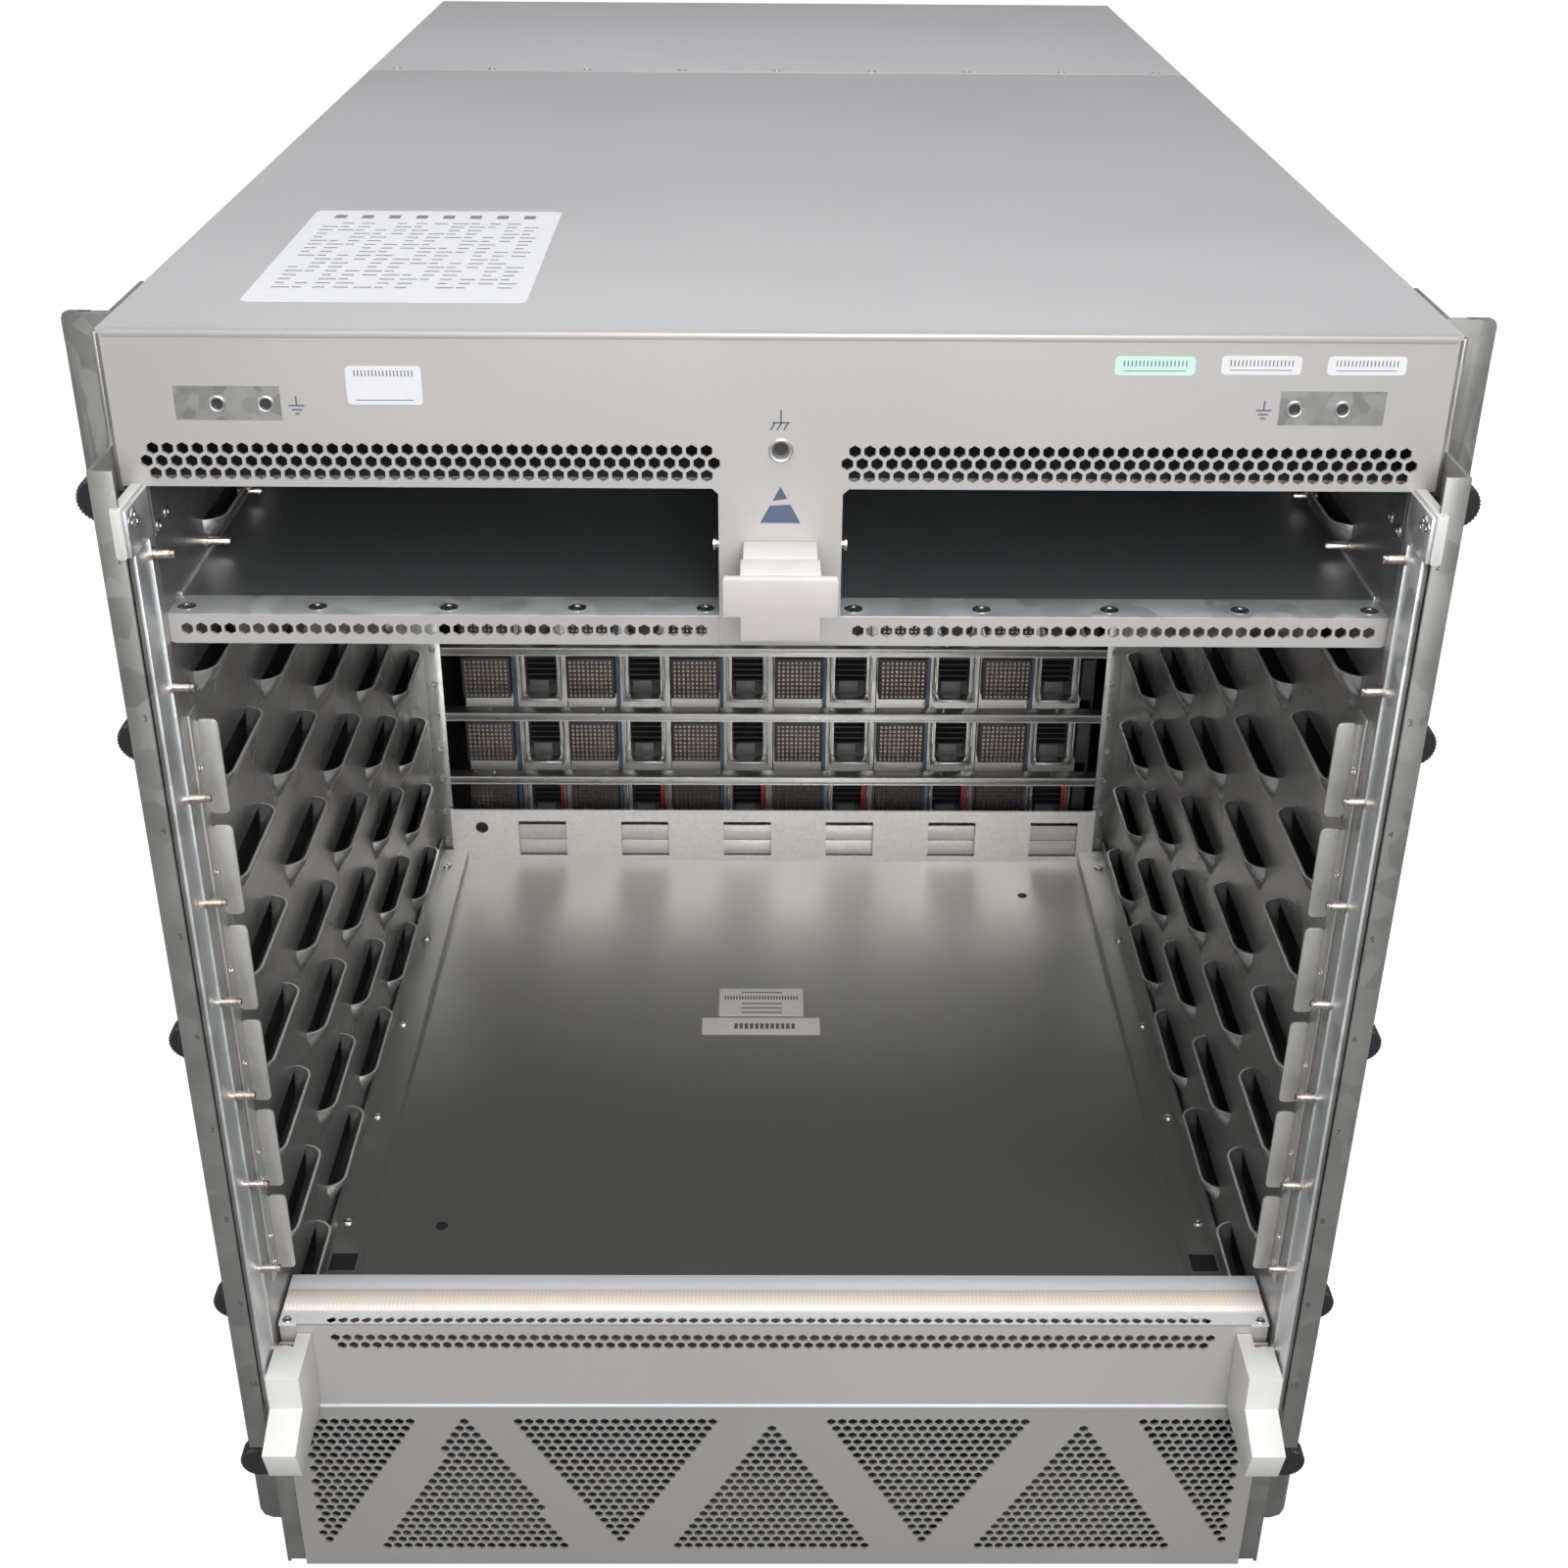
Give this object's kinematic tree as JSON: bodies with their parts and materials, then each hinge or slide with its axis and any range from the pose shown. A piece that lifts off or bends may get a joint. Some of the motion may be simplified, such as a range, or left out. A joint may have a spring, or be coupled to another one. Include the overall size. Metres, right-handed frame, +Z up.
{
  "type": "modular chassis switch",
  "caption": "Rack-mounted modular network switch chassis with an open line-card cage, supervisor bays, a fitted blank card cover and rear fabric modules.",
  "frame": {"origin": "middle of the underside of the case, on the surface it rests on", "axes": "+X to the right seen from the front, +Y from the front bezels to the rear, +Z up"},
  "size_m": [0.4826, 0.86, 0.577],
  "materials": {
    "galvanised": "mottled galvanised",
    "painted": "fine satin paint",
    "inner_steel": "plated, soft sheen",
    "shelf_steel": "plated, smooth",
    "tray_steel": "plated, soft sheen",
    "pin_metal": "turned, coppery",
    "jack_metal": "turned",
    "catch_plastic": "fine grain",
    "lever_plastic": "moulded, satin",
    "gasket": "woven over foam",
    "bus": "matte",
    "module_case": "plated",
    "connector": "moulded, with rows of contacts",
    "screw": "knurled"
  },
  "bodies": {
    "chassis": {"left_side_panel": "galvanised", "right_side_panel": "galvanised", "left_rack_ear": "galvanised", "right_rack_ear": "galvanised", "base_pan": "galvanised", "rear_frame": "galvanised", "front_top_cover": "painted", "rear_top_cover": "painted", "upper_bezel": "painted", "lower_bezel": "painted", "left_guide_tabs": "painted", "right_guide_tabs": "painted", "left_end_catch": "painted", "right_end_catch": "painted", "left_card_wall": "inner_steel", "right_card_wall": "inner_steel", "left_wall_edge": "inner_steel", "right_wall_edge": "inner_steel", "left_frame_post": "inner_steel", "right_frame_post": "inner_steel", "cross_bars": "inner_steel", "cage_floor": "inner_steel", "cage_roof": "inner_steel", "bay_divider": "inner_steel", "supervisor_shelf": "shelf_steel", "ejector_pins": "pin_metal", "wrist_strap_jack": "jack_metal", "ground_inserts": "jack_metal", "centre_catch": "catch_plastic", "power_bus": "bus"},
    "blank_cover": {"cover_front": "painted", "cover_gasket": "gasket", "cover_tray": "tray_steel", "cover_rear_wall": "tray_steel", "lever_pins": "pin_metal"},
    "left_lever": {"left_ejector": "lever_plastic"},
    "right_lever": {"right_ejector": "lever_plastic"},
    "screw_left_1": {"rack_screw_left_1": "screw"},
    "screw_left_2": {"rack_screw_left_2": "screw"},
    "screw_left_3": {"rack_screw_left_3": "screw"},
    "screw_left_4": {"rack_screw_left_4": "screw"},
    "screw_left_5": {"rack_screw_left_5": "screw"},
    "screw_right_1": {"rack_screw_right_1": "screw"},
    "screw_right_2": {"rack_screw_right_2": "screw"},
    "screw_right_3": {"rack_screw_right_3": "screw"},
    "screw_right_4": {"rack_screw_right_4": "screw"},
    "screw_right_5": {"rack_screw_right_5": "screw"},
    "module_1": {"fabric_module_1": "module_case", "fabric_connectors_1": "connector"},
    "module_2": {"fabric_module_2": "module_case", "fabric_connectors_2": "connector"},
    "module_3": {"fabric_module_3": "module_case", "fabric_connectors_3": "connector"},
    "module_4": {"fabric_module_4": "module_case", "fabric_connectors_4": "connector"},
    "module_5": {"fabric_module_5": "module_case", "fabric_connectors_5": "connector"},
    "module_6": {"fabric_module_6": "module_case", "fabric_connectors_6": "connector"}
  },
  "joints": [
    {"name": "blank_cover_slide", "type": "slide", "parent": "chassis", "child": "blank_cover", "axis": [0, -1, 0], "range_m": [0, 0.45]},
    {"name": "left_lever_swing", "type": "hinge", "parent": "blank_cover", "child": "left_lever", "pos_m": [-0.2048, -0.402, 0.109], "axis": [1, 0, 0], "range_deg": [0, 70]},
    {"name": "right_lever_swing", "type": "hinge", "parent": "blank_cover", "child": "right_lever", "pos_m": [0.2048, -0.402, 0.109], "axis": [1, 0, 0], "range_deg": [0, 70]},
    {"name": "screw_left_1_turn", "type": "hinge", "parent": "chassis", "child": "screw_left_1", "pos_m": [-0.23255, -0.3686, 0.056], "axis": [0, 1, 0], "continuous": true},
    {"name": "screw_left_2_turn", "type": "hinge", "parent": "chassis", "child": "screw_left_2", "pos_m": [-0.23255, -0.3686, 0.151], "axis": [0, 1, 0], "continuous": true},
    {"name": "screw_left_3_turn", "type": "hinge", "parent": "chassis", "child": "screw_left_3", "pos_m": [-0.23255, -0.3686, 0.288], "axis": [0, 1, 0], "continuous": true},
    {"name": "screw_left_4_turn", "type": "hinge", "parent": "chassis", "child": "screw_left_4", "pos_m": [-0.23255, -0.3686, 0.422], "axis": [0, 1, 0], "continuous": true},
    {"name": "screw_left_5_turn", "type": "hinge", "parent": "chassis", "child": "screw_left_5", "pos_m": [-0.23255, -0.3686, 0.515], "axis": [0, 1, 0], "continuous": true},
    {"name": "screw_right_1_turn", "type": "hinge", "parent": "chassis", "child": "screw_right_1", "pos_m": [0.23255, -0.3686, 0.056], "axis": [0, 1, 0], "continuous": true},
    {"name": "screw_right_2_turn", "type": "hinge", "parent": "chassis", "child": "screw_right_2", "pos_m": [0.23255, -0.3686, 0.151], "axis": [0, 1, 0], "continuous": true},
    {"name": "screw_right_3_turn", "type": "hinge", "parent": "chassis", "child": "screw_right_3", "pos_m": [0.23255, -0.3686, 0.288], "axis": [0, 1, 0], "continuous": true},
    {"name": "screw_right_4_turn", "type": "hinge", "parent": "chassis", "child": "screw_right_4", "pos_m": [0.23255, -0.3686, 0.422], "axis": [0, 1, 0], "continuous": true},
    {"name": "screw_right_5_turn", "type": "hinge", "parent": "chassis", "child": "screw_right_5", "pos_m": [0.23255, -0.3686, 0.515], "axis": [0, 1, 0], "continuous": true},
    {"name": "module_1_slide", "type": "slide", "parent": "chassis", "child": "module_1", "axis": [0, 1, 0], "range_m": [0, 0.28]},
    {"name": "module_2_slide", "type": "slide", "parent": "chassis", "child": "module_2", "axis": [0, 1, 0], "range_m": [0, 0.28]},
    {"name": "module_3_slide", "type": "slide", "parent": "chassis", "child": "module_3", "axis": [0, 1, 0], "range_m": [0, 0.28]},
    {"name": "module_4_slide", "type": "slide", "parent": "chassis", "child": "module_4", "axis": [0, 1, 0], "range_m": [0, 0.28]},
    {"name": "module_5_slide", "type": "slide", "parent": "chassis", "child": "module_5", "axis": [0, 1, 0], "range_m": [0, 0.28]},
    {"name": "module_6_slide", "type": "slide", "parent": "chassis", "child": "module_6", "axis": [0, 1, 0], "range_m": [0, 0.28]}
  ]
}
